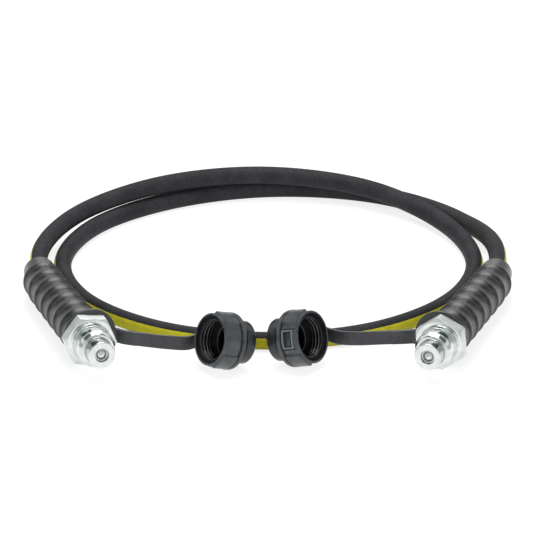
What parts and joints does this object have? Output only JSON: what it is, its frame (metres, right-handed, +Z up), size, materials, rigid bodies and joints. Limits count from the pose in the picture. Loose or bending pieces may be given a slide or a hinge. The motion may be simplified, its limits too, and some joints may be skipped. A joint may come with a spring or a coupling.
{
  "type": "hydraulic hose assembly",
  "caption": "High-pressure rubber hydraulic hose in a flat coil, with a ball-check screw coupler, ribbed bend guard and strap-tethered dust cap at each end.",
  "frame": {"origin": "on the floor that the assembly lies on, at the middle of the bounds of its two end fittings, straps and caps", "axes": "+Z up; +Y from the noses towards the coil; +X from the left fitting to the right fitting, seen from the noses"},
  "size_m": [0.3574, 0.3807, 0.0449],
  "materials": {
    "hose_rubber": "matte rubber cover with a printed yellow lay line left bare of lettering",
    "wire_braid": "brass-coated steel wire braid",
    "inner_tube": "smooth synthetic rubber tube",
    "guard_rubber": "moulded rubber with a slight sheen",
    "plated_steel": "zinc-plated steel",
    "bright_zinc": "bright zinc plate over turned steel",
    "bearing_steel": "polished bearing ball",
    "spring_steel": "drawn spring wire",
    "strap_rubber": "flexible moulded strap, bare where it was embossed",
    "cap_plastic": "moulded plastic, satin"
  },
  "bodies": {
    "hose_and_fittings": {"hose_cover": "hose_rubber", "hose_braid": "wire_braid", "hose_core": "inner_tube", "bend_guard_left": "guard_rubber", "ferrule_left": "plated_steel", "hose_nipple_left": "plated_steel", "coupler_body_left": "bright_zinc", "ball_spring_left": "spring_steel", "spring_stop_left": "plated_steel", "retaining_ring_left": "spring_steel", "bend_guard_right": "guard_rubber", "ferrule_right": "plated_steel", "hose_nipple_right": "plated_steel", "coupler_body_right": "bright_zinc", "ball_spring_right": "spring_steel", "spring_stop_right": "plated_steel", "retaining_ring_right": "spring_steel"},
    "check_ball_left": {"check_ball_left": "bearing_steel"},
    "strap_left": {"strap_left": "strap_rubber"},
    "dust_cap_left": {"dust_cap_left": "cap_plastic"},
    "check_ball_right": {"check_ball_right": "bearing_steel"},
    "strap_right": {"strap_right": "strap_rubber"},
    "dust_cap_right": {"dust_cap_right": "cap_plastic"}
  },
  "joints": [
    {"name": "ball_slide_left", "type": "slide", "parent": "hose_and_fittings", "child": "check_ball_left", "axis": [-0.2755, 0.9607, -0.0349], "range_m": [0, 0.0035], "stiffness_N_per_m": 1500, "springref_m": -0.002, "deforming": ["ball_spring_left"]},
    {"name": "strap_swivel_left", "type": "hinge", "parent": "hose_and_fittings", "child": "strap_left", "pos_m": [-0.13243, -0.04713, 0.02053], "axis": [0.2755, -0.9607, 0.0349], "continuous": true},
    {"name": "cap_swivel_left", "type": "hinge", "parent": "strap_left", "child": "dust_cap_left", "pos_m": [-0.02701, -0.05388, 0.01971], "axis": [-0.8041, -0.5222, 0.284], "continuous": true},
    {"name": "ball_slide_right", "type": "slide", "parent": "hose_and_fittings", "child": "check_ball_right", "axis": [0.2922, 0.9557, -0.0349], "range_m": [0, 0.0035], "stiffness_N_per_m": 1500, "springref_m": -0.002, "deforming": ["ball_spring_right"]},
    {"name": "strap_swivel_right", "type": "hinge", "parent": "hose_and_fittings", "child": "strap_right", "pos_m": [0.12713, -0.05134, 0.02053], "axis": [-0.2922, -0.9557, 0.0349], "continuous": true},
    {"name": "cap_swivel_right", "type": "hinge", "parent": "strap_right", "child": "dust_cap_right", "pos_m": [0.01601, -0.04888, 0.01971], "axis": [0.8041, -0.5222, 0.284], "continuous": true}
  ]
}
